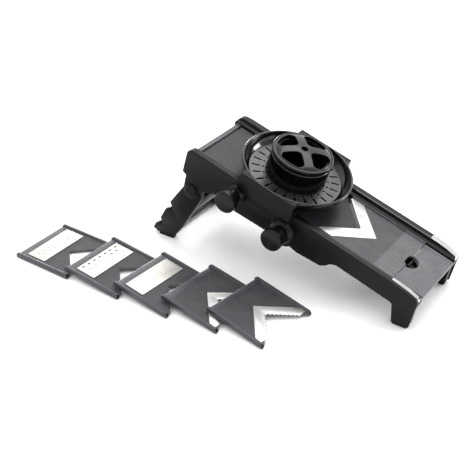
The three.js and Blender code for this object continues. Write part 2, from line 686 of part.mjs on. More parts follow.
const slicers = [
  { key: 'plain', at: [-25.3, -172.2, -6.5, 5.7], teeth: 0 },
  { key: 'serrated', at: [44.8, -164.9, -8.7, 6.2], teeth: 9 },
];
for (const { key, at, teeth } of slicers) {
  const g = layInsert(...at);
  const plate = insertPlate(-46, [], bladeSeat());
  add(g, `insert_${key}_plate`, plate, RIBBED_ABS());
  add(g, `insert_${key}_blade`, slab(insertBlade(teeth), INSERT_DECK - 0.6, INSERT_DECK + 0.4), STEEL());
}

// ------------------------------------------------------------------- origin
// The set's origin is the middle of its footprint, on the table.
const bounds = new THREE.Box3().setFromObject(group);
group.position.x = -(bounds.min.x + bounds.max.x) / 2;
group.position.y = -(bounds.min.y + bounds.max.y) / 2;

export default group;
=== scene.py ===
"""A mandoline slicer with a sliding food holder and five loose inserts.

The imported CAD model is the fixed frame. This file models the pieces that show, gives every piece its
finish, and sets the pale floor, the soft studio light and the camera. Lengths in the classes are in
millimetres and are turned to metres where a mesh is made.
"""

import json
import logging
import math
from dataclasses import dataclass, field
from enum import Enum
from typing import Any, Iterable, Sequence

import bpy
from mathutils import Matrix, Vector

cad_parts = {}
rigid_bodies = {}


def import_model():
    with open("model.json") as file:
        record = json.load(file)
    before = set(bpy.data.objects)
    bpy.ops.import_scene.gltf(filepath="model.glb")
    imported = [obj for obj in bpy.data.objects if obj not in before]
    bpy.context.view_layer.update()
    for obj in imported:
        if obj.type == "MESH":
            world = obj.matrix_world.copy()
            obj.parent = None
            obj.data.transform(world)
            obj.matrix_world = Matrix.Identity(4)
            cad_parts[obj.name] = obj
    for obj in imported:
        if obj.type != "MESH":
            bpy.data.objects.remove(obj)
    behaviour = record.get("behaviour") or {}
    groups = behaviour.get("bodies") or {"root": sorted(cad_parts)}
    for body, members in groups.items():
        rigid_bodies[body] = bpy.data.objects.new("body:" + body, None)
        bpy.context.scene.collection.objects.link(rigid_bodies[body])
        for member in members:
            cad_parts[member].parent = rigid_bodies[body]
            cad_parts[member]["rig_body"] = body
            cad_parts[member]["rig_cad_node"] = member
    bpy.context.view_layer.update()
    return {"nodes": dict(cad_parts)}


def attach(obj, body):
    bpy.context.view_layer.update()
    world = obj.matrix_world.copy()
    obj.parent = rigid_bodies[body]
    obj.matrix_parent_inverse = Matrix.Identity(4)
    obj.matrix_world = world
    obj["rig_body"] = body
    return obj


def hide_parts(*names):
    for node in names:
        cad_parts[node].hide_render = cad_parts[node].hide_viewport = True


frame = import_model()
LOG = logging.getLogger("mandoline")

MM = 0.001
Point = Sequence[float]

# ---------------------------------------------------------------- where the sub-assemblies stand
SET_OFFSET = Vector((96.4537, 79.8961, 102.3))  # middle of the deck, from the middle of the set's footprint
TILT = math.radians(17)  # how far the deck leans down towards the low end


def spot(x: float, y: float, z: float) -> Matrix:
    """A shift by millimetres."""
    return Matrix.Translation(Vector((x, y, z)) * MM)


DECK = Matrix.Translation(SET_OFFSET * MM) @ Matrix.Rotation(TILT, 4, "Y")
OUTWARD = Matrix.Rotation(math.radians(90), 4, "X")  # turns a lathe's axis to face the knob side


# ---------------------------------------------------------------- node and colour tools
def linear(hex_colour: str) -> tuple[float, float, float, float]:
    """Turns an sRGB hex colour to linear.

    Args:
        hex_colour: six hex digits with a leading #.

    Returns:
        Red, green, blue and an alpha of 1.
    """
    parts = [int(hex_colour[i : i + 2], 16) / 255 for i in (1, 3, 5)]
    red, green, blue = (p / 12.92 if p <= 0.04045 else ((p + 0.055) / 1.055) ** 2.4 for p in parts)
    return (red, green, blue, 1.0)


def add_node(
    tree: bpy.types.NodeTree,
    kind: str,
    settings: dict[str, Any] | None = None,
    inputs: dict[Any, Any] | None = None,
) -> bpy.types.Node:
    """Adds one node.

    Args:
        tree: the node tree.
        kind: the node's type name.
        settings: the node's own options.
        inputs: a value, or another node's output socket, for each named or numbered input.

    Returns:
        The node.
    """
    made = tree.nodes.new(kind)
    for name, value in (settings or {}).items():
        setattr(made, name, value)
    for name, value in (inputs or {}).items():
        if isinstance(value, bpy.types.NodeSocket):
            tree.links.new(value, made.inputs[name])
        else:
            made.inputs[name].default_value = value
    return made


def new_tree(name: str) -> tuple[bpy.types.Material, bpy.types.NodeTree]:
    """A material with an empty node tree."""
    material = bpy.data.materials.new(name)
    material.use_nodes = True
    material.node_tree.nodes.clear()
    return material, material.node_tree


def two_tone(
    tree: bpy.types.NodeTree, factor: bpy.types.NodeSocket, stops: Sequence[tuple[float, str]]
) -> bpy.types.NodeSocket:
    """Runs from one colour to another, each at its own place along a factor."""
    ramp = add_node(tree, "ShaderNodeValToRGB", {}, {"Fac": factor})
    for element, (position, colour) in zip(ramp.color_ramp.elements, stops):
        element.position = position
        element.color = linear(colour)
    return ramp.outputs["Color"]


def mapped(
    tree: bpy.types.NodeTree, value: bpy.types.NodeSocket, span: Point, to: Point, kind: str = "LINEAR"
) -> bpy.types.NodeSocket:
    """Maps a value from one span to another, and stops at both ends."""
    limits = {"From Min": span[0], "From Max": span[1], "To Min": to[0], "To Max": to[1]}
    node = add_node(tree, "ShaderNodeMapRange", {"interpolation_type": kind}, {"Value": value, **limits})
    return node.outputs["Result"]


# ---------------------------------------------------------------- finishes
@dataclass(frozen=True)
class MouldedPlastic:
    """Injection-moulded plastic. The mould's texture shows as a fine grain, and flow as faint cloudiness.

    Args:
        name: the material's name.
        dark: colour of the darker clouds.
        light: colour of the lighter clouds.
        roughness: mean roughness, with a spread either side of it.
        spread: half the range that the roughness wanders over.
        grain_mm: spacing of the mould's texture.
        grain_depth_mm: height of that texture.
        specular: the shader's specular level.
    """

    name: str
    dark: str
    light: str
    roughness: float
    spread: float = 0.05
    grain_mm: float = 0.7
    grain_depth_mm: float = 0.02
    specular: float = 0.5

    def build(self) -> bpy.types.Material:
        """Builds the material.

        Returns:
            The material.
        """
        material, tree = new_tree(self.name)
        place = add_node(tree, "ShaderNodeTexCoord").outputs["Object"]
        # flow marks are some 20 mm across on a moulding of this size
        clouds = add_node(
            tree,
            "ShaderNodeTexNoise",
            {},
            {"Vector": place, "Scale": 1 / (20 * MM), "Detail": 3.0, "Roughness": 0.55},
        ).outputs["Fac"]
        tint = two_tone(tree, clouds, ((0.32, self.dark), (0.68, self.light)))
        rough = (max(0.03, self.roughness - self.spread), self.roughness + self.spread)
        wander = mapped(tree, clouds, (0.3, 0.7), rough)
        grain = add_node(
            tree,
            "ShaderNodeTexNoise",
            {},
            {"Vector": place, "Scale": 1 / (self.grain_mm * MM), "Detail": 2.0, "Roughness": 0.6},
        )
        bump = add_node(
            tree,
            "ShaderNodeBump",
            {},
            {"Strength": 1.0, "Distance": self.grain_depth_mm * MM, "Height": grain.outputs["Fac"]},
        )
        shader = add_node(
            tree,
            "ShaderNodeBsdfPrincipled",
            {},
            {
                "Base Color": tint,
                "Roughness": wander,
                "Normal": bump.outputs["Normal"],
                "IOR": 1.5,
                "Specular IOR Level": self.specular,
            },
        )
        add_node(tree, "ShaderNodeOutputMaterial", {}, {"Surface": shader.outputs["BSDF"]})
        return material


@dataclass(frozen=True)
class BrushedSteel:
    """Stainless sheet brushed one way: long faint scratches that stretch the light across them.

    Args:
        name: the material's name.
        colour: colour of the metal.
        shade: colour in the deeper scratches.
        roughness: mean roughness.
        turn: turns the brushing direction, which starts along X, about Z, in radians.
    """

    name: str
    colour: str
    shade: str
    roughness: float
    turn: float = 0.0

    def build(self) -> bpy.types.Material:
        """Builds the material.

        Returns:
            The material.
        """
        material, tree = new_tree(self.name)
        place = add_node(tree, "ShaderNodeTexCoord").outputs["Object"]
        # scratches are about 0.5 mm apart here and 15 mm long: finer ones would not show
        stretch = (1 / (15 * MM), 1 / (0.5 * MM), 1 / (3 * MM))
        along = add_node(
            tree,
            "ShaderNodeMapping",
            {},
            {"Vector": place, "Rotation": (0.0, 0.0, self.turn), "Scale": stretch},
        )
        scratches = add_node(
            tree, "ShaderNodeTexNoise", {}, {"Vector": along.outputs["Vector"], "Scale": 1.0, "Detail": 4.0}
        ).outputs["Fac"]
        tint = two_tone(tree, scratches, ((0.3, self.shade), (0.6, self.colour)))
        wander = mapped(tree, scratches, (0.3, 0.7), (self.roughness + 0.06, self.roughness - 0.04))
        bump = add_node(
            tree, "ShaderNodeBump", {}, {"Strength": 0.6, "Distance": 0.01 * MM, "Height": scratches}
        )
        shader = add_node(
            tree,
            "ShaderNodeBsdfPrincipled",
            {},
            {
                "Base Color": tint,
                "Metallic": 1.0,
                "Roughness": wander,
                "Normal": bump.outputs["Normal"],
            },
        )
        add_node(tree, "ShaderNodeOutputMaterial", {}, {"Surface": shader.outputs["BSDF"]})
        return material


class Finish(Enum):
    """The finishes, each named for its real material or for the light or shade it paints."""

    # side rails and walls: black ABS from a spark-eroded mould, an even satin black
    SATIN_ABS = MouldedPlastic("moulded_satin_abs", "#060607", "#0a0a0b", 0.38, specular=0.17)
    # crests of the ramp, landing and insert plates: the same ABS, painted lighter as a painted sheen
    PLATE_ABS = MouldedPlastic(
        "plate_abs_painted_sheen", "#2a2b2f", "#323338", 0.32, spread=0.03, grain_mm=0.5, specular=0.5
    )
    # crests of the landing plate: painted lighter still as a painted sheen
    RUBBED_ABS = MouldedPlastic("plate_abs_painted_bright_sheen", "#46474a", "#515255", 0.34, spread=0.03, specular=0.5)
    # the low end of the deck, where the plate slopes a little less: painted lighter as a painted sheen
    PALE_PLATE_ABS = MouldedPlastic(
        "polished_plate_abs", "#66676a", "#717275", 0.32, spread=0.03, specular=0.5
    )
    # a painted highlight on the tops of the rails at their low ends
    RAIL_END_ABS = MouldedPlastic(
        "polished_rail_end_abs", "#8a8b8d", "#a4a5a6", 0.2, spread=0.03, specular=0.6
    )
    # grooves between the ribs: rough, and painted dark as painted shade
    GROOVE_ABS = MouldedPlastic("groove_painted_shade", "#0c0c0d", "#101011", 0.7, specular=0.1)
    # dish, tube and runner tips: polished ABS, nearly a black mirror
    GLOSS_ABS = MouldedPlastic(
        "polished_abs", "#040405", "#070708", 0.12,
        spread=0.02, grain_mm=3.0, grain_depth_mm=0.004, specular=0.4,
    )
    # palm cap: polished ABS dulled by handling
    CAP_ABS = MouldedPlastic("handled_abs", "#070708", "#0b0b0c", 0.18, spread=0.03, specular=0.3)
    # slotted ring, dial shafts, near rail's lip: black ABS painted grey as a painted sheen
    GREY_ABS = MouldedPlastic("grey_abs_painted_sheen", "#1c1d1f", "#242527", 0.3, spread=0.03, specular=0.6)
    # knob grips and flanges: black ABS moulded smooth
    GRIP_ABS = MouldedPlastic("moulded_grip_abs", "#0a0a0b", "#0e0e0f", 0.32, specular=0.22)
    # foot pads: thermoplastic rubber, dull and slightly dusty
    RUBBER = MouldedPlastic(
        "foot_rubber", "#0d0d0d", "#151515", 0.85, grain_mm=0.9, grain_depth_mm=0.05, specular=0.2
    )
    # lead-ins and runners of the loose inserts: satin ABS painted a cool grey as a painted sheen
    INSERT_ABS = MouldedPlastic("moulded_insert_abs", "#303136", "#393a40", 0.34, spread=0.03, specular=0.5)
    # painted shade in the grooves of the plates painted with a sheen
    PALE_GROOVE_ABS = MouldedPlastic("sheen_plate_groove_painted_shade", "#242425", "#2a2a2b", 0.7, specular=0.1)
    # inside the slots and holes: nothing but shade
    SHADE = MouldedPlastic("hole_shade", "#020202", "#040404", 0.9, specular=0.03)
    # blades: ground stainless, brushed along their arms
    BLADE_STEEL = BrushedSteel("brushed_blade_stainless", "#cfcfcd", "#bfbfbd", 0.45)
    # grater panels: bright stamped stainless
    PANEL_STEEL = BrushedSteel("bright_panel_stainless", "#cbc8c4", "#c2bfbb", 0.5, turn=math.radians(90))
    # hinge rod and rivets: drawn stainless wire
    ROD_STEEL = BrushedSteel("drawn_stainless", "#c8c8c6", "#acacaa", 0.22, turn=math.radians(90))

    def material(self) -> bpy.types.Material:
        """The finish's material, built once."""
        return bpy.data.materials.get(self.value.name) or self.value.build()


# ---------------------------------------------------------------- modelling tools
def choose(*objects: bpy.types.Object) -> None:
    """Selects these objects alone and makes the first one active."""
    bpy.ops.object.select_all(action="DESELECT")
    for item in objects:
        item.select_set(True)
    bpy.context.view_layer.objects.active = objects[0]


def traced(name: str, points: Iterable[Point], filled: bool = True, closed: bool = True) -> bpy.types.Object:
    """An outline: a circle with one corner for each point, each corner then put in its place.

    Args:
        name: the object's name.
        points: corners in millimetres, in order.
        filled: whether the outline has a face.
        closed: whether the last corner joins the first.

    Returns:
        The object.
    """
    corners = list(points)
    bpy.ops.object.select_all(action="DESELECT")
    fill = "NGON" if filled else "NOTHING"
    bpy.ops.mesh.primitive_circle_add(vertices=len(corners), radius=0.01, fill_type=fill)
    made = bpy.context.object
    made.name = made.data.name = name
    for vertex, corner in zip(made.data.vertices, corners):
        vertex.co = Vector(corner) * MM
    if not closed:
        last = len(corners) - 1
        bpy.ops.object.mode_set(mode="EDIT")
        bpy.ops.mesh.select_mode(type="EDGE")
        bpy.ops.mesh.select_all(action="DESELECT")
        bpy.ops.object.mode_set(mode="OBJECT")
        for edge in made.data.edges:
            edge.select = set(edge.vertices) == {0, last}
        bpy.ops.object.mode_set(mode="EDIT")
        bpy.ops.mesh.delete(type="EDGE")
        bpy.ops.mesh.select_mode(type="VERT")
        bpy.ops.object.mode_set(mode="OBJECT")
    return made


def extruded(name: str, points: Iterable[Point], by: Point) -> bpy.types.Object:
    """A solid: a traced face pushed out by a distance in millimetres."""
    made = traced(name, points)
    bpy.ops.object.mode_set(mode="EDIT")
    bpy.ops.mesh.select_all(action="SELECT")
    bpy.ops.mesh.extrude_region_move(TRANSFORM_OT_translate={"value": Vector(by) * MM})
    bpy.ops.mesh.select_all(action="SELECT")
    bpy.ops.mesh.normals_make_consistent(inside=False)
    bpy.ops.object.mode_set(mode="OBJECT")
    return made


def plan(name: str, outline: Iterable[Point], z0: float, z1: float) -> bpy.types.Object:
    """A solid from an outline seen from above, between two heights."""
    return extruded(name, [(x, y, z0) for x, y in outline], (0, 0, z1 - z0))


def side(name: str, outline: Iterable[Point], y0: float, y1: float) -> bpy.types.Object:
    """A solid from an outline seen from the side, between two Y values."""
    return extruded(name, [(x, y0, z) for x, z in outline], (0, y1 - y0, 0))


def turned(name: str, profile: Iterable[Point], steps: int = 96, ring: bool = False) -> bpy.types.Object:
    """A solid of revolution about Z.

    Args:
        name: the object's name.
        profile: radius and height of each corner, in millimetres.
        steps: sides round the axis.
        ring: whether the profile closes on itself rather than on the axis.

    Returns:
        The object.
    """
    made = traced(name, [(r, 0, z) for r, z in profile], filled=False, closed=ring)
    bpy.ops.object.mode_set(mode="EDIT")
    bpy.ops.mesh.select_all(action="SELECT")
    bpy.ops.mesh.spin(steps=steps, angle=2 * math.pi, center=(0, 0, 0), axis=(0, 0, 1))
    bpy.ops.mesh.select_all(action="SELECT")
    bpy.ops.mesh.remove_doubles(threshold=1e-6)
    bpy.ops.mesh.normals_make_consistent(inside=False)
    bpy.ops.object.mode_set(mode="OBJECT")
    return made


def block(name: str, low: Point, high: Point) -> bpy.types.Object:
    """A box between two corners in millimetres."""
    middle = (Vector(low) + Vector(high)) / 2 * MM
    bpy.ops.object.select_all(action="DESELECT")
    bpy.ops.mesh.primitive_cube_add(size=1, location=middle)
    made = bpy.context.object
    made.name = made.data.name = name
    made.scale = (Vector(high) - Vector(low)) * MM
    bpy.ops.object.transform_apply(location=True, rotation=True, scale=True)
    return made


def joined(first: bpy.types.Object, *others: bpy.types.Object) -> bpy.types.Object:
    """Puts several meshes in one object, without merging them."""
    choose(first, *others)
    bpy.ops.object.join()
    return bpy.context.object


def combined(
    base: bpy.types.Object, tool: bpy.types.Object, operation: str, solver: str = "MANIFOLD"
) -> bpy.types.Object:
    """Joins, cuts or intersects two solids, and removes the tool.

    Args:
        base: the solid that is kept.
        tool: the other solid.
        operation: UNION, DIFFERENCE or INTERSECT.
        solver: which of Blender's solvers is used.

    Returns:
        The base.
    """
    modifier = base.modifiers.new(operation.lower(), "BOOLEAN")
    modifier.operation = operation
    modifier.object = tool
    modifier.solver = solver
    choose(base)
    bpy.ops.object.modifier_apply(modifier=modifier.name)
    bpy.data.objects.remove(tool)
    return base


def copied(source: bpy.types.Object, name: str, matrix: Matrix) -> bpy.types.Object:
    """A copy with its own mesh, moved by a matrix."""
    made = source.copy()
    made.data = source.data.copy()
    made.name = made.data.name = name
    bpy.context.scene.collection.objects.link(made)
    return placed(made, matrix)


def placed(item: bpy.types.Object, matrix: Matrix) -> bpy.types.Object:
    """Moves an object and puts the move in its mesh."""
    item.matrix_world = matrix @ item.matrix_world
    choose(item)
    bpy.ops.object.transform_apply(location=True, rotation=True, scale=True)
    return item


def round_edges(
    item: bpy.types.Object, width: float, segments: int = 2, angle: float = 32
) -> bpy.types.Object:
    """Rounds the edges that are sharper than an angle, and shades the rest smooth.

    Args:
        item: the object.
        width: width of the rounding in millimetres.
        segments: steps across the rounding.
        angle: edges blunter than this many degrees stay.

    Returns:
        The object.
    """
    modifier = item.modifiers.new("rounding", "BEVEL")
    modifier.width = width * MM
    modifier.segments = segments
    modifier.limit_method = "ANGLE"
    modifier.angle_limit = math.radians(angle)
    modifier.miter_outer = "MITER_ARC"
    choose(item)
    bpy.ops.object.modifier_apply(modifier=modifier.name)
    return smooth(item)


def smooth(item: bpy.types.Object, angle: float = 38) -> bpy.types.Object:
    """Shades an object smooth across edges blunter than an angle in degrees."""
    choose(item)
    bpy.ops.object.shade_smooth_by_angle(angle=math.radians(angle))
    return item


def refined(node: str, width: float, segments: int = 2, name: str | None = None) -> bpy.types.Object:
    """A copy of a CAD node with its triangles merged, its flat faces made whole and its edges rounded.

    Args:
        node: the CAD node.
        width: width of the rounding in millimetres.
        segments: steps across the rounding.
        name: the new piece's name, or None for the node's name with an ending.

    Returns:
        The copy, at rest in the row frame.
    """
    source = frame["nodes"][node]
    made = source.copy()
    made.data = source.data.copy()
    made.parent = None
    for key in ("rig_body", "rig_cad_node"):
        del made[key]
    made.name = made.data.name = name or f"{node}_moulding"
    bpy.context.scene.collection.objects.link(made)
    choose(made)
    bpy.ops.object.mode_set(mode="EDIT")
    bpy.ops.mesh.select_all(action="SELECT")
    bpy.ops.mesh.remove_doubles(threshold=2e-6)
    bpy.ops.mesh.dissolve_limited(angle_limit=math.radians(0.4), delimit=set())
    bpy.ops.object.mode_set(mode="OBJECT")
    return round_edges(made, width, segments)


def arc(
    cu: float, cv: float, radius: float, start: float, end: float, steps: int
) -> list[tuple[float, float]]:
    """Points of an arc, with angles in degrees and both ends included."""
    angles = [math.radians(start + (end - start) * i / steps) for i in range(steps + 1)]
    return [(cu + radius * math.cos(a), cv + radius * math.sin(a)) for a in angles]


def dress(
    item: bpy.types.Object,
    finish: Finish,
    body: str,
    nodes: Sequence[str] = (),
    accents: Sequence[tuple[Finish, Iterable[int]]] = (),
) -> bpy.types.Object:
    """Gives a finished piece its material, its body and the CAD nodes it stands for.

    Args:
        item: the piece.
        finish: its finish.
        body: the CAD body it moves with.
        nodes: the CAD nodes it stands for.
        accents: further finishes, each with the faces that take it.

    Returns:
        The piece.
    """
    item.data.materials.clear()
    item.data.materials.append(finish.material())
    for polygon in item.data.polygons:
        polygon.material_index = 0
    for number, (accent, faces) in enumerate(accents, start=1):
        item.data.materials.append(accent.material())
        for index in faces:
            item.data.polygons[index].material_index = number
    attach(item, body)
    if nodes:
        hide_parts(*nodes)
    LOG.info("%s: %d faces on %s", item.name, len(item.data.polygons), body)
    return item


# ---------------------------------------------------------------- sub-assemblies
def grooves(item: bpy.types.Object, top: float, depth: float = 0.55) -> list[int]:
    """Finds the faces at the bottom of a ribbed plate's grooves.

    Args:
        item: the plate, before it is placed.
        top: height of the crests in mm.
        depth: depth of the grooves in mm.

    Returns:
        The faces' indices.
    """
    low, high = (top - 1.02 * depth) * MM, (top - 0.3 * depth) * MM
    return [p.index for p in item.data.polygons if low < p.center.z < high and p.normal.z > 0.3]


def split(item: bpy.types.Object, x: float, place: Matrix = Matrix()) -> bpy.types.Object:
    """Cuts a piece's faces along a plane across the slide, and keeps both sides.

    Args:
        item: the piece.
        x: where, in mm.
        place: the frame that x is measured in.

    Returns:
        The piece.
    """
    choose(item)
    bpy.ops.object.mode_set(mode="EDIT")
    bpy.ops.mesh.select_all(action="SELECT")
    bpy.ops.mesh.bisect(plane_co=place @ Vector((x * MM, 0, 0)), plane_no=place.to_3x3() @ Vector((1, 0, 0)))
    bpy.ops.object.mode_set(mode="OBJECT")
    return item


@dataclass
class RibbedPlate:
    """A moulded plate whose upper face is covered in straight ribs along the slide."""

    pitch: float = 2.7  # rib to rib; drawn a little coarser than the real 2 mm, so that it shows
    depth: float = 0.55
    half_width: float = 51.6

    def build(
        self, name: str, outline: Sequence[Point], top: float, thickness: float, x_range: tuple[float, float]
    ) -> bpy.types.Object:
        """Models the plate.

        Args:
            name: the piece's name.
            outline: the plate seen from above.
            top: height of the ribs' crests.
            thickness: from the crests to the underside.
            x_range: where the ribs start and end.

        Returns:
            The plate.
        """
        ribs = int((2 * self.half_width - 2) / self.pitch)
        start = -ribs * self.pitch / 2
        section: list[Point] = [(-self.half_width - 2, top - thickness), (-self.half_width - 2, top)]
        for i in range(ribs):
            y = start + i * self.pitch
            section += [
                (y + 0.1 * self.pitch, top),
                (y + 0.16 * self.pitch, top - self.depth),
                (y + 0.54 * self.pitch, top - self.depth),
                (y + 0.6 * self.pitch, top),
            ]
        section += [(self.half_width + 2, top), (self.half_width + 2, top - thickness)]
        x0, x1 = x_range
        ribbed = extruded(name, [(x0, y, z) for y, z in section], (x1 - x0, 0, 0))
        shape = plan("plate_plan", outline, top - thickness - 1, top + 1)
        return combined(ribbed, shape, "INTERSECT")


@dataclass
class Body:
    """Side rails, cross members, end plate, feet and pins: everything that stays put."""

    edge: float = 0.7
    step_x: float = 148  # where the fixed plate begins
    plate: RibbedPlate = field(default_factory=RibbedPlate)

    def build(self) -> None:
        """Models and dresses the fixed pieces."""
        for end in ("near", "far"):
            self.rail(end)
            node = f"front_pad_{end}"
            dress(refined(node, 0.6), Finish.RUBBER, "frame", [node])
            node = f"leg_pin_{end}"
            dress(refined(node, 0.4), Finish.SATIN_ABS, "frame", [node])
        for node in ("upper_cross_member", "middle_cross_member", "lower_cross_member"):
            dress(refined(node, 0.6), Finish.SATIN_ABS, "frame", [node])
        self.end_plate()
        dress(refined("ramp_hinge_rod", 0.3), Finish.ROD_STEEL, "frame", ["ramp_hinge_rod"])
        dress(refined("insert_latch", 0.5), Finish.SATIN_ABS, "latch", ["insert_latch"])
        tray = block("finger_tray", (134, -19, -12.4), (181.5, 19, -10.8))
        for low, high in (
            ((134, -19, -11.4), (136, 19, -2.2)),
            ((134, 17.4, -11.4), (146, 19, -2.2)),
            ((145, 17.4, -11.4), (181.5, 19, -6.4)),
        ):
            combined(tray, block("tray_wall", low, high), "UNION")
        placed(round_edges(tray, 0.3, 2), DECK)
        dress(tray, Finish.SATIN_ABS, "frame")

    def rail(self, end: str) -> None:
        """One side rail, with a painted highlight on the top of its low end and a painted sheen line along
        its near ledge.
        """
        node = f"side_rail_{end}"
        made = split(split(refined(node, self.edge, 3), self.step_x, DECK), 18, DECK)
        if end == "near":
            across = DECK @ Matrix.Rotation(math.pi / 2, 4, "Z")
            split(split(made, -62.2, across), -65, across)
        back, turn = DECK.inverted(), DECK.to_3x3().inverted()
        ends, ledge = [], []
        for face in made.data.polygons:
            at, up = (back @ face.center) / MM, (turn @ face.normal).z
            top = abs(at.y) > 59.5 and at.z > 4 and up > 0.6
            if top and at.x > self.step_x and (end == "far" or abs(at.y) < 65):
                ends.append(face.index)
            elif top and at.x > 18 and abs(at.y) < 62.2:
                ledge.append(face.index)
        # a painted highlight on the top of the low end, and a painted sheen line along the near rail's ledge
        accents = [(Finish.RAIL_END_ABS, ends), (Finish.GREY_ABS, ledge)]
        dress(made, Finish.SATIN_ABS, "frame", [node], accents)

    def end_plate(self) -> None:
        """The fixed ribbed plate with the finger notch."""
        outline = [(194, -52.1), (194, 52.1), (146.3, 52.1), (146.3, 14)]
        outline += arc(146.3, 0, 14, 85, -85, 24) + [(146.3, -14), (146.3, -52.1)]
        made = self.plate.build("end_plate_ribbed", outline, 0, 6, (140, 200))
        # painted shade in the grooves, and the crests painted lighter as a painted sheen
        accents = [(Finish.PALE_GROOVE_ABS, grooves(made, 0))]
        placed(made, DECK)
        dress(smooth(made, 30), Finish.PALE_PLATE_ABS, "frame", ["end_plate"], accents)


@dataclass
class Leg:
    """The folding rear leg."""

    def build(self) -> None:
        """Models and dresses the leg."""
        for end in ("near", "far"):
            node = f"leg_arm_{end}"
            dress(refined(node, 0.7, 3), Finish.SATIN_ABS, "leg", [node])
            node = f"leg_pad_{end}"
            dress(refined(node, 0.5), Finish.RUBBER, "leg", [node])
        dress(refined("leg_top_bar", 0.8, 3), Finish.SATIN_ABS, "leg", ["leg_top_bar"])
        dress(refined("leg_foot_bar", 0.6), Finish.SATIN_ABS, "leg", ["leg_foot_bar"])


@dataclass
class Ramp:
    """The feeding ramp with its ribs, its hinge knuckle and its raised lip."""

    hinge_x: float = -187
    drop: float = 0.0103
    tip: float = 247.5  # hinge to the point of the V
    slope: float = 0.948
    half_width: float = 51.6
    thickness: float = 3.3
    plate: RibbedPlate = field(default_factory=RibbedPlate)

    def build(self) -> None:
        """Models and dresses the ramp."""
        place = DECK @ spot(self.hinge_x, 0, 0) @ Matrix.Rotation(self.drop, 4, "Y")
        back = self.tip - self.slope * self.half_width
        w = self.half_width
        outline = [(2, -w), (back, -w), (self.tip, 0), (back, w), (2, w)]
        ribbed = self.plate.build("feed_ramp_ribbed", outline, 0, self.thickness, (-5, self.tip + 5))
        knuckle = refined("feed_ramp", 0.3, name="ramp_underside")
        # painted shade in the grooves; the crests and lip painted lighter as a painted sheen
        accents = [(Finish.GROOVE_ABS, grooves(ribbed, 0))]
        placed(ribbed, place)
        # the CAD ramp gives the knuckle and the stiffener; the ribbed plate covers the rest
        cutter = placed(block("ramp_cutter", (3.5, -60, -self.thickness + 0.1), (260, 60, 5)), place)
        combined(knuckle, cutter, "DIFFERENCE", "EXACT")
        dress(smooth(knuckle), Finish.SATIN_ABS, "ramp")
        dress(smooth(ribbed, 30), Finish.PLATE_ABS, "ramp", ["feed_ramp"], accents)
        dress(refined("ramp_lip", 0.5), Finish.PLATE_ABS, "ramp", ["ramp_lip"])


@dataclass
class FittedInsert:
    """The landing plate and the V blade that are in use."""

    lift: float = 1.5
    end_x: float = 145.7
    notch_x: float = 141  # how far the finger notch reaches into the landing plate
    # the landing plate's painted sheen turns lighter from here
    sheen_x: float = 113  # where the plate turns lighter
    half_width: float = 51.6
    apex: float = 64.4  # the blade's cutting point
    slope: float = 0.948
    plate: RibbedPlate = field(default_factory=RibbedPlate)

    def build(self) -> None:
        """Models and dresses the fitted insert."""
        place = DECK @ spot(0, 0, self.lift)
        w = self.half_width
        end, notch = self.end_x, self.notch_x
        outline = [(end, -w), (end, -11), (notch, -8), (notch, 8), (end, 11), (end, w), (20, w)]
        outline += [(20, 47.3), (self.apex + 0.5, 0), (20, -47.3), (20, -w)]
        made = self.plate.build("landing_plate_ribbed", outline, 0, 3.3, (15, 150))
        seat = plan(
            "blade_seat",
            [(90.9, 0), (40.5, 50.5), (10, 50.5), (10, -50.5), (40.5, -50.5)],
            -1.2,
            1,
        )
        combined(made, seat, "DIFFERENCE")
        near, far = self.apex + 0.5, self.apex + 2.1
        rim = [(near, 0), (near - self.slope * 45, 45), (far - self.slope * 45, 45), (far, 0)]
        rim += [(far - self.slope * 45, -45), (near - self.slope * 45, -45)]
        combined(made, plan("falling_rim", rim, -11, -3), "UNION")
        for low, high in ((50.6, w), (-w, -50.6)):
            combined(made, block("lip", (20, low, -3.3), (self.end_x, high, 2.2)), "UNION")
        split(made, self.sheen_x)
        limit = self.sheen_x * MM
        pale = [p.index for p in made.data.polygons if p.center.x > limit and p.normal.z > 0.5]
        # painted sheen on the crests, lighter towards the end of the plate, and painted shade in the grooves
        accents = [(Finish.PALE_PLATE_ABS, pale), (Finish.PALE_GROOVE_ABS, grooves(made, 0))]
        placed(made, place)
        dress(smooth(made, 30), Finish.RUBBED_ABS, "blade_insert", ["landing_plate"], accents)
        a, m = self.apex, self.slope
        arm: list[Point] = [(a - m * 4, 4), (a - m * 46, 46), (22, 50.2), (40.3, 50.2)]
        nose = [(a - 2, 2.6), (a - 1.2, 1.2)]
        upper = list(reversed(nose)) + arm
        outline = upper + [(90.5, 0)] + [(u, -v) for u, v in reversed(upper)]
        blade = plan("v_blade_ground", outline, -0.9, 0.3)
        placed(round_edges(blade, 0.15), place)
        dress(blade, Finish.BLADE_STEEL, "blade_insert", ["v_blade"])
        for end in ("near", "far"):
            node = f"blade_rivet_{end}"
            dress(refined(node, 0.2), Finish.ROD_STEEL, "blade_insert", [node])


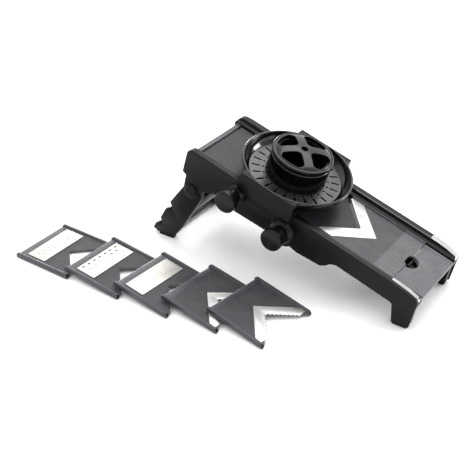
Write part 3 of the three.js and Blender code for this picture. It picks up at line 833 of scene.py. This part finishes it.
@dataclass
class Knob:
    """A dial: a smooth domed grip on a ribbed neck, in front of a domed flange."""

    name: str
    x: float
    z: float
    body: str
    flange_radius: float
    grip_radius: float = 16.6
    neck_ribs: int = 18

    def build(self) -> None:
        """Models and dresses the dial, its flange and its shaft."""
        place = DECK @ spot(self.x, 0, self.z) @ OUTWARD
        r = self.grip_radius
        profile = [(0, 78.6), (11.2, 78.6), (12.2, 80), (12.4, 81.6), (11.6, 84), (10.6, 87)]
        profile += [(10.4, 90.2), (14.6, 90.8)]
        profile += arc(r - 2, 92.8, 2, -90, 0, 4) + arc(r - 2.6, 99.2, 2.6, 0, 80, 6)
        profile += [(11, 102.6), (6, 103), (0, 103.1)]
        grip = turned(f"{self.name}_grip", profile, 72)
        rib = round_edges(block("neck_rib", (9.8, -0.7, 81.6), (12.6, 0.7, 90.6)), 0.4)
        ribs = [
            copied(rib, "neck_rib", Matrix.Rotation(2 * math.pi * i / self.neck_ribs, 4, "Z"))
            for i in range(self.neck_ribs)
        ]
        bpy.data.objects.remove(rib)
        grip = joined(smooth(grip), *ribs)
        placed(grip, place)
        dress(grip, Finish.GRIP_ABS, self.body, [self.name])
        f = self.flange_radius
        dish = [(4.2, 70.3), (f, 70.3)] + arc(f - 1.2, 71.6, 1.2, 0, 70, 3)
        dish += [(f - 0.9, 73), (f - 1.8, 74.6), (f - 3, 76), (f - 4.6, 77.1), (f - 6.6, 77.8), (4.2, 78)]
        flange = turned(f"{self.name}_flange_polished", dish, 72, ring=True)
        placed(smooth(flange, 50), place)
        dress(flange, Finish.GRIP_ABS, "frame", [f"{self.name}_flange"])
        shaft = self.name.replace("_knob", "_shaft")
        # the shaft is painted grey as a painted sheen
        dress(refined(shaft, 0.3), Finish.GREY_ABS, self.body, [shaft])


@dataclass
class FoodHolder:
    """The saddle with its glossy dish, the slotted ring and the guide tube."""

    x: float = -56.8
    half_length: float = 44.7
    half_width: float = 81
    radius: float = 82.5
    top: float = 35.2
    floor: float = 17.8
    wall: float = 2.6

    def __post_init__(self) -> None:
        self.place = DECK @ spot(self.x, 0, 0)

    def build(self) -> None:
        """Models and dresses the holder."""
        self.saddle()
        self.ring()
        self.tube()

    def saddle(self) -> None:
        """The dish, its pointed corners, its side walls and the shoes that run on the rails."""
        r, top = self.radius, self.top
        profile = [(42.6, 12), (62, 12), (68, 13.4), (73, 15.5), (76.6, 18.6), (79.4, 23), (r - 0.9, 29.6)]
        profile += [(r, 31.4), (r, top - 1.9)] + arc(r - 1.9, top - 1.9, 1.9, 0, 180, 12)
        profile += [(78.6, top - 2.4), (78, 31), (77.2, 28.4), (76.2, 26.4), (74.6, 23.6), (72.4, 20.8)]
        profile += [(70.8, 19), (69.7, 18.1), (69, self.floor), (67, self.floor), (67, 13.6), (45, 13.6)]
        profile += [(45, self.floor), (42.6, self.floor)]
        dish = turned("holder_saddle_polished", profile, 144, ring=True)
        h, w = self.half_length, self.half_width
        combined(dish, block("trim", (-90, -w + 0.05, 0), (90, w - 0.05, 50)), "INTERSECT")
        bore = turned("ear_bore", [(0, 20), (r - 1.6, 20), (r - 1.6, 40), (0, 40)], 128)
        ears = block("ears", (-h, -w, 28), (h, w, top - 0.5))
        combined(ears, bore, "DIFFERENCE")
        for sign in (-1, 1):
            low, high = sorted((sign * (w - self.wall), sign * w))
            combined(ears, block("wall", (-h, low, 5), (h, high, top - 0.2)), "UNION")
            for end in (-1, 1):
                x0, x1 = sorted((end * h, end * (h - 9)))
                y0, y1 = sorted((sign * 70.5, sign * 79))
                combined(ears, block("shoe", (x0, y0, 5), (x1, y1, 20)), "UNION")
                y0, y1 = sorted((sign * 60, sign * 79))
                combined(ears, block("runner", (x0, y0, 10.3), (x1, y1, 20)), "UNION")
        round_edges(ears, 0.5, 3)
        placed(smooth(dish, 40), self.place)
        placed(ears, self.place)
        dress(dish, Finish.GLOSS_ABS, "holder", ["holder_rim"])
        ears.name = "holder_walls"
        dress(ears, Finish.SATIN_ABS, "holder", ["holder_saddle"])

    def ring(self) -> None:
        """The ring with its two rows of radial drain slots."""
        profile = [(43.2, 18.1), (69, 18.1), (69, 19.8), (68.6, 20.2), (43.6, 20.2), (43.2, 19.8)]
        ring = turned("slotted_ring_moulded", profile, 144, ring=True)
        rows = ((24, 52.6, 65.4, 3.0), (24, 46.4, 50.6, 2.8))
        cutters = []
        for count, inner, outer, width in rows:
            h = width / 2
            outline = arc(outer - h, 0, h, -90, 90, 4) + arc(inner + h, 0, h, 90, 270, 4)
            slot = plan("slot", outline, 16, 24)
            turns = [2 * math.pi * i / count + math.radians(1.5) for i in range(count)]
            cutters += [copied(slot, "slot", Matrix.Rotation(turn, 4, "Z")) for turn in turns]
            bpy.data.objects.remove(slot)
        combined(ring, joined(*cutters), "DIFFERENCE")
        inside = [
            p.index for p in ring.data.polygons
            if abs(p.normal.z) < 0.2 and 45 * MM < math.hypot(p.center.x, p.center.y) < 67 * MM
        ]
        placed(smooth(ring, 30), self.place)
        # the ring is painted grey as a painted sheen; the slot walls are painted shade
        dress(ring, Finish.GREY_ABS, "holder", ["slotted_ring"], [(Finish.SHADE, inside)])

    def tube(self) -> None:
        """The upright tube that guides the pusher."""
        profile = [(39, 13.4), (39.4, 13), (40.6, 13), (41, 13.4), (41, 20.5), (44.8, 20.5)]
        profile += [(45.1, 21), (45, 21.8), (44.4, 23)] + arc(42.2, 50.8, 2.2, 0, 80, 6)
        profile += [(39.5, 53), (39, 52.6)]
        tube = turned("guide_tube_polished", profile, 128, ring=True)
        placed(smooth(tube, 40), self.place)
        dress(tube, Finish.GLOSS_ABS, "holder", ["guide_tube"])


@dataclass
class Pusher:
    """The palm cap with its four finger holes, on its sleeve and prong plate."""

    x: float = -56.8
    radius: float = 45
    rim: float = 60
    crown: float = 67

    def build(self) -> None:
        """Models and dresses the pusher."""
        place = DECK @ spot(self.x, 0, 0)
        r, rim, crown = self.radius, self.rim, self.crown
        profile = [(0, crown - 3), (12, crown - 3.3), (24, crown - 4.6), (34, rim - 1), (39.8, rim - 3)]
        profile += [(39.8, 53.5), (r - 1.2, 53.4), (r - 0.4, 53.9), (r, 54.8), (r, rim - 2.4)]
        profile += arc(r - 1.4, rim - 1, 1.4, 0, 150, 6) + [(r - 4, rim - 0.2), (39.6, rim + 1.3)]
        profile += [(32, rim + 3.3), (24, rim + 5), (16, rim + 6.1), (8, rim + 6.8), (0, crown)]
        cap = turned("pusher_cap_domed", profile, 128)
        hole = arc(29.6, 10.2, 8, 12, 110, 10) + arc(20.5, 0, 8, 140, 220, 8)
        hole += arc(29.6, -10.2, 8, 250, 348, 10) + arc(0, 0, 38.9, -10, 10, 4)
        cutter = plan("finger_hole", hole, rim - 6, crown + 2)
        cutters = [copied(cutter, "finger_hole", Matrix.Rotation(math.pi / 2 * i, 4, "Z")) for i in range(4)]
        bpy.data.objects.remove(cutter)
        centre = [(0, rim - 6), (5.2, rim - 6), (5.2, crown + 2), (0, crown + 2)]
        cutters.append(turned("centre_hole", centre, 32))
        for item in cutters:
            combined(cap, item, "DIFFERENCE")
        round_edges(cap, 0.5, 3, angle=42)
        placed(cap, place)
        dress(cap, Finish.CAP_ABS, "pusher", ["pusher_cap"])
        dress(refined("pusher_sleeve", 0.4), Finish.SATIN_ABS, "pusher", ["pusher_sleeve"])
        dress(refined("prong_plate", 0.3), Finish.SATIN_ABS, "pusher", ["prong_plate"])


class Fitting(Enum):
    """What an insert carries."""

    COARSE = "coarse"
    MEDIUM = "medium"
    FINE = "fine"
    PLAIN = "plain"
    SERRATED = "serrated"


@dataclass
class LooseInsert:
    """One loose insert: two runners, a ribbed plate with a V end, and its panel or blade."""

    fitting: Fitting
    x: float
    y: float
    yaw: float
    pitch: float
    length: float = 103.6
    half_width: float = 51.3
    runner: float = 4.8
    height: float = 7.6
    deck: float = 5.4
    thickness: float = 3
    lead_in: float = 15

    def __post_init__(self) -> None:
        self.body = f"insert_{self.fitting.value}"
        at = Matrix.Translation(Vector((self.x + SET_OFFSET.x, self.y + SET_OFFSET.y, 0)) * MM)
        yaw = Matrix.Rotation(math.radians(self.yaw), 4, "Z")
        self.place = at @ yaw @ Matrix.Rotation(math.radians(self.pitch), 4, "Y")
        self.bladed = self.fitting in (Fitting.PLAIN, Fitting.SERRATED)

    def build(self) -> None:
        """Models and dresses the insert."""
        self.plate()
        if self.bladed:
            self.blade()
        else:
            self.panel()

    def plate(self) -> None:
        """The ribbed plate, its smooth lead-in and its two runners."""
        y = self.half_width - self.runner + 0.5
        corner = -46 if self.bladed else -43.5
        edge = min(-corner - 1.5, y - 2)
        start = -self.length + self.lead_in
        outline = [(start, -y), (start, y), (-1.5, y), (corner + edge, edge), (corner, 0)]
        outline += [(corner + edge, -edge), (-1.5, -y)]
        name = f"{self.body}_plate_ribbed"
        ribbed = RibbedPlate(half_width=y).build(name, outline, self.deck, self.thickness, (start, 2))
        lead = side(
            "lead_in",
            [
                (start + 0.01, self.deck - self.thickness),
                (start + 0.01, self.deck + 0.1),
                (-self.length + 5, self.deck + 0.1),
                (-self.length + 2.5, self.deck - 0.8),
                (-self.length + 2, self.deck - self.thickness),
            ],
            -y,
            y,
        )
        combined(ribbed, lead, "UNION")
        if self.bladed:
            corners = [(-63.4, 0), (-17, 46.4), (2, 46.4), (2, -46.4), (-17, -46.4)]
            seat = plan("seat", corners, self.deck - 0.9, self.deck + 1)
            combined(ribbed, seat, "DIFFERENCE")
        else:
            window = plan("window", [(-79, -39), (-57, -39), (-57, 39), (-79, 39)], 0, 9)
            combined(ribbed, window, "DIFFERENCE")
            corners = [(-88.4, -42.4), (-53.6, -42.4), (-53.6, 42.4), (-88.4, 42.4)]
            shelf = plan("shelf", corners, self.deck - 0.4, 9)
            combined(ribbed, shelf, "DIFFERENCE")
        smooth(ribbed, 30)
        profile = [(-self.length, 1.6), (-self.length + 1.6, 0), (-1.6, 0), (0, 1.6), (0, 4.4)]
        profile += [(-2.6, self.height)]
        profile += [(-self.length + 3, self.height), (-self.length, self.height - 2.6)]
        inner = self.half_width - self.runner
        spans = ((inner, self.half_width), (-self.half_width, -inner))
        runners = [side("runner", profile, low, high) for low, high in spans]
        for item in runners:
            round_edges(item, 1.1, 4)
        made = joined(ribbed, *runners)
        limit = (inner + 0.6) * MM
        tips = [p.index for p in made.data.polygons if p.center.x > -3.4 * MM and abs(p.center.y) > limit]
        grooved = grooves(made, self.deck)
        ends = (start + 0.2) * MM
        smooth_faces = [
            p.index for p in made.data.polygons
            if p.center.x < ends or (abs(p.center.y) > (inner + 0.1) * MM and p.center.x < -3.4 * MM)
        ]
        placed(made, self.place)
        # painted sheen on the plate's crests, lead-ins and runners, and painted shade in the grooves
        accents = [
            (Finish.PALE_GROOVE_ABS, grooved),
            (Finish.GLOSS_ABS, tips),
            (Finish.INSERT_ABS, smooth_faces),
        ]
        dress(made, Finish.RUBBED_ABS, self.body, [f"{self.body}_plate"], accents)

    def panel(self) -> None:
        """The stamped steel grater panel: one open row of holes, and rows of raised teeth behind it."""
        rows, columns, radius = {
            Fitting.COARSE: (4, 8, 3.7),
            Fitting.MEDIUM: (4, 7, 3.3),
            Fitting.FINE: (7, 17, 1.45),
        }[self.fitting]
        x0, x1, y = -88, -54, 42
        top = self.deck + 1.0
        sheet = round_edges(block(f"{self.body}_panel_stamped", (x0, -y, self.deck + 0.3), (x1, y, top)), 0.3)
        step_x, step_y = (x1 - x0 - 3) / rows, (2 * y - 6) / columns
        tooth = self.tooth(radius)
        punch = plan("punch", arc(0, 0, radius * 0.85, 90, 270, 6), self.deck - 2, top + 2)
        teeth, punches = [], []
        for i in range(rows):
            for j in range(columns - i % 2):
                at = spot(x0 + 1.5 + step_x * (i + 0.5), -y + 3 + step_y * (j + 0.5 + 0.5 * (i % 2)), 0)
                far = j >= columns - 2 - i % 2
                if i == 0 or (far and i == 1 and self.fitting is not Fitting.COARSE):
                    punches.append(copied(punch, "punch", at @ spot(radius * 0.4, 0, 0)))
                else:
                    teeth.append(copied(tooth, "tooth", at @ spot(0, 0, top - 0.05)))
        for item in (tooth, punch):
            bpy.data.objects.remove(item)
        if self.fitting is not Fitting.COARSE:
            combined(sheet, joined(*punches), "DIFFERENCE")
        else:
            for item in punches:
                bpy.data.objects.remove(item)
        sheet = joined(sheet, *teeth)
        openings = [
            p.index for p in sheet.data.polygons if p.normal.x < -0.93 and p.center.z > (top + 0.05) * MM
        ]
        placed(sheet, self.place)
        node = f"{self.body}_panel"
        dress(sheet, Finish.PANEL_STEEL, self.body, [node], [(Finish.SHADE, openings)])

    def tooth(self, radius: float) -> bpy.types.Object:
        """One raised tooth: a quarter of a flattened ball, open towards the insert's solid end."""
        bpy.ops.object.select_all(action="DESELECT")
        flat = (1, 1, 0.42)
        bpy.ops.mesh.primitive_uv_sphere_add(segments=12, ring_count=6, radius=radius * MM, scale=flat)
        made = bpy.context.object
        bpy.ops.object.transform_apply(location=True, rotation=True, scale=True)
        bpy.ops.object.mode_set(mode="EDIT")
        for normal in ((1, 0, 0), (0, 0, 1)):
            bpy.ops.mesh.select_all(action="SELECT")
            bpy.ops.mesh.bisect(plane_co=(0, 0, 0), plane_no=normal, use_fill=True, clear_inner=True)
        bpy.ops.object.mode_set(mode="OBJECT")
        return smooth(made, 50)

    def blade(self) -> None:
        """The V blade with its ground edge."""
        outer, inner, half, tip = -63.0, -43.0, 46.0, -7.0
        reach = tip - inner
        teeth = 9 if self.fitting is Fitting.SERRATED else 0
        edge: list[Point] = [] if teeth else [(inner, 0)]
        for i in range(teeth):
            a, b = i / teeth * reach, (i + 0.5) / teeth * reach
            edge += [(inner + a, a), (inner + b + 1.9, b - 1.9)]
        edge += [(tip, reach)]
        arm = edge + [(tip, half), (outer + half, half)]
        outline = [(u, -v) for u, v in reversed(arm[1:])] + arm + [(outer, 0)]
        made = plan(f"{self.body}_blade_ground", outline, self.deck - 0.6, self.deck + 0.4)
        round_edges(made, 0.15, 2)
        placed(made, self.place)
        node = f"{self.body}_blade"
        dress(made, Finish.BLADE_STEEL, self.body, [node])


# ---------------------------------------------------------------- studio
@dataclass
class Studio:
    """The pale floor, the soft light and the camera."""

    lens: float = 73.43
    shift: tuple[float, float] = (-0.04755, 0.01036)
    camera_at: tuple[float, float, float] = (0.65405, -0.9640, 0.8018)
    azimuth: float = 32.65
    elevation: float = 32.79
    roll: float = 1.03

    def build(self) -> None:
        """Sets up everything that isn't the object."""
        self.floor()
        self.world()
        self.lamps()
        self.camera()
        bpy.context.scene.view_settings.view_transform = "Standard"

    def floor(self) -> None:
        """A wide pale floor."""
        bpy.ops.object.select_all(action="DESELECT")
        bpy.ops.mesh.primitive_plane_add(size=14, location=(0, 0, 0))
        ground = bpy.context.object
        ground.name = "studio_floor"
        material, tree = new_tree("studio_paper")
        shader = add_node(
            tree,
            "ShaderNodeBsdfPrincipled",
            {},
            {"Base Color": (0.92, 0.92, 0.92, 1), "Roughness": 0.9, "Specular IOR Level": 0.1},
        )
        add_node(tree, "ShaderNodeOutputMaterial", {}, {"Surface": shader.outputs["BSDF"]})
        ground.data.materials.append(material)

    def world(self) -> None:
        """A white surround that is brighter above and behind than in front."""
        world = bpy.data.worlds.new("studio_surround")
        bpy.context.scene.world = world
        world.use_nodes = True
        world.node_tree.nodes.clear()
        tree = world.node_tree
        # the tent is brightest above and behind, and falls off towards the front
        heading = add_node(tree, "ShaderNodeTexCoord").outputs["Generated"]
        facing = add_node(
            tree, "ShaderNodeVectorMath", {"operation": "DOT_PRODUCT"}, {0: heading, 1: (-0.2, 0.5, 0.84)}
        )
        glow = mapped(tree, facing.outputs["Value"], (-0.45, 0.9), (0.5, 1.8), "SMOOTHSTEP")
        # and white all round the horizon, where it meets the floor
        height = add_node(tree, "ShaderNodeSeparateXYZ", {}, {"Vector": heading}).outputs["Z"]
        level = add_node(tree, "ShaderNodeMath", {"operation": "ABSOLUTE"}, {0: height})
        band = mapped(tree, level.outputs["Value"], (0.1, 0.35), (1.05, 0.0))
        brightest = add_node(tree, "ShaderNodeMath", {"operation": "MAXIMUM"}, {0: glow, 1: band})
        surround = add_node(
            tree, "ShaderNodeBackground", {}, {"Color": (1, 1, 1, 1), "Strength": brightest.outputs["Value"]}
        )
        add_node(tree, "ShaderNodeOutputWorld", {}, {"Surface": surround.outputs["Background"]})

    def lamps(self) -> None:
        """Three softboxes: one overhead, and one low behind at each side."""
        for name, at, size, power in (
            ("overhead_softbox", (0.1, 0.9, 1.9), 1.6, 26),
            ("back_softbox", (1.7, 1.78, 0.3), 0.7, 34),
            ("side_softbox", (-1.76, 1.78, 0.22), 0.6, 24),
        ):
            lamp = bpy.data.lights.new(name, "AREA")
            lamp.shape = "SQUARE"
            lamp.size = size
            lamp.energy = power
            holder = bpy.data.objects.new(name, lamp)
            bpy.context.scene.collection.objects.link(holder)
            holder.location = at
            holder.rotation_euler = (-Vector(at)).to_track_quat("-Z", "Y").to_euler()

    def camera(self) -> None:
        """The camera, level apart from a slight roll."""
        a, e, rho = (math.radians(v) for v in (self.azimuth, self.elevation, self.roll))
        back = Vector((math.sin(a) * math.cos(e), -math.cos(a) * math.cos(e), math.sin(e)))
        right = Vector((math.cos(a), math.sin(a), 0))
        up = back.cross(right)
        across = right * math.cos(rho) + up * math.sin(rho)
        upward = up * math.cos(rho) - right * math.sin(rho)
        data = bpy.data.cameras.new("studio_camera")
        data.lens = self.lens
        data.sensor_width = 36
        data.shift_x, data.shift_y = self.shift
        data.dof.use_dof = False
        data.clip_start, data.clip_end = 0.05, 50
        camera = bpy.data.objects.new("studio_camera", data)
        bpy.context.scene.collection.objects.link(camera)
        turn = Matrix((across, upward, back)).transposed().to_4x4()
        camera.matrix_world = Matrix.Translation(self.camera_at) @ turn
        bpy.context.scene.camera = camera


def main() -> None:
    """Builds the whole set in order."""
    logging.basicConfig(level=logging.INFO, format="%(name)s: %(message)s")
    Studio().build()
    Body().build()
    Leg().build()
    Ramp().build()
    FittedInsert().build()
    Knob("height_knob", -20, -23, "height_dial", 19.5).build()
    Knob("lock_knob", -104, -12, "ramp_lock", 15.5).build()
    FoodHolder().build()
    Pusher().build()
    for insert in (
        LooseInsert(Fitting.COARSE, -280.7, -189.5, -1, 0),
        LooseInsert(Fitting.MEDIUM, -187.4, -186.8, -2.6, 4.7),
        LooseInsert(Fitting.FINE, -101.8, -182.7, -5.4, 5.3),
        LooseInsert(Fitting.PLAIN, -25.3, -172.2, -6.5, 5.7),
        LooseInsert(Fitting.SERRATED, 44.8, -164.9, -8.7, 6.2),
    ):
        insert.build()


if __name__ == "__main__":
    main()
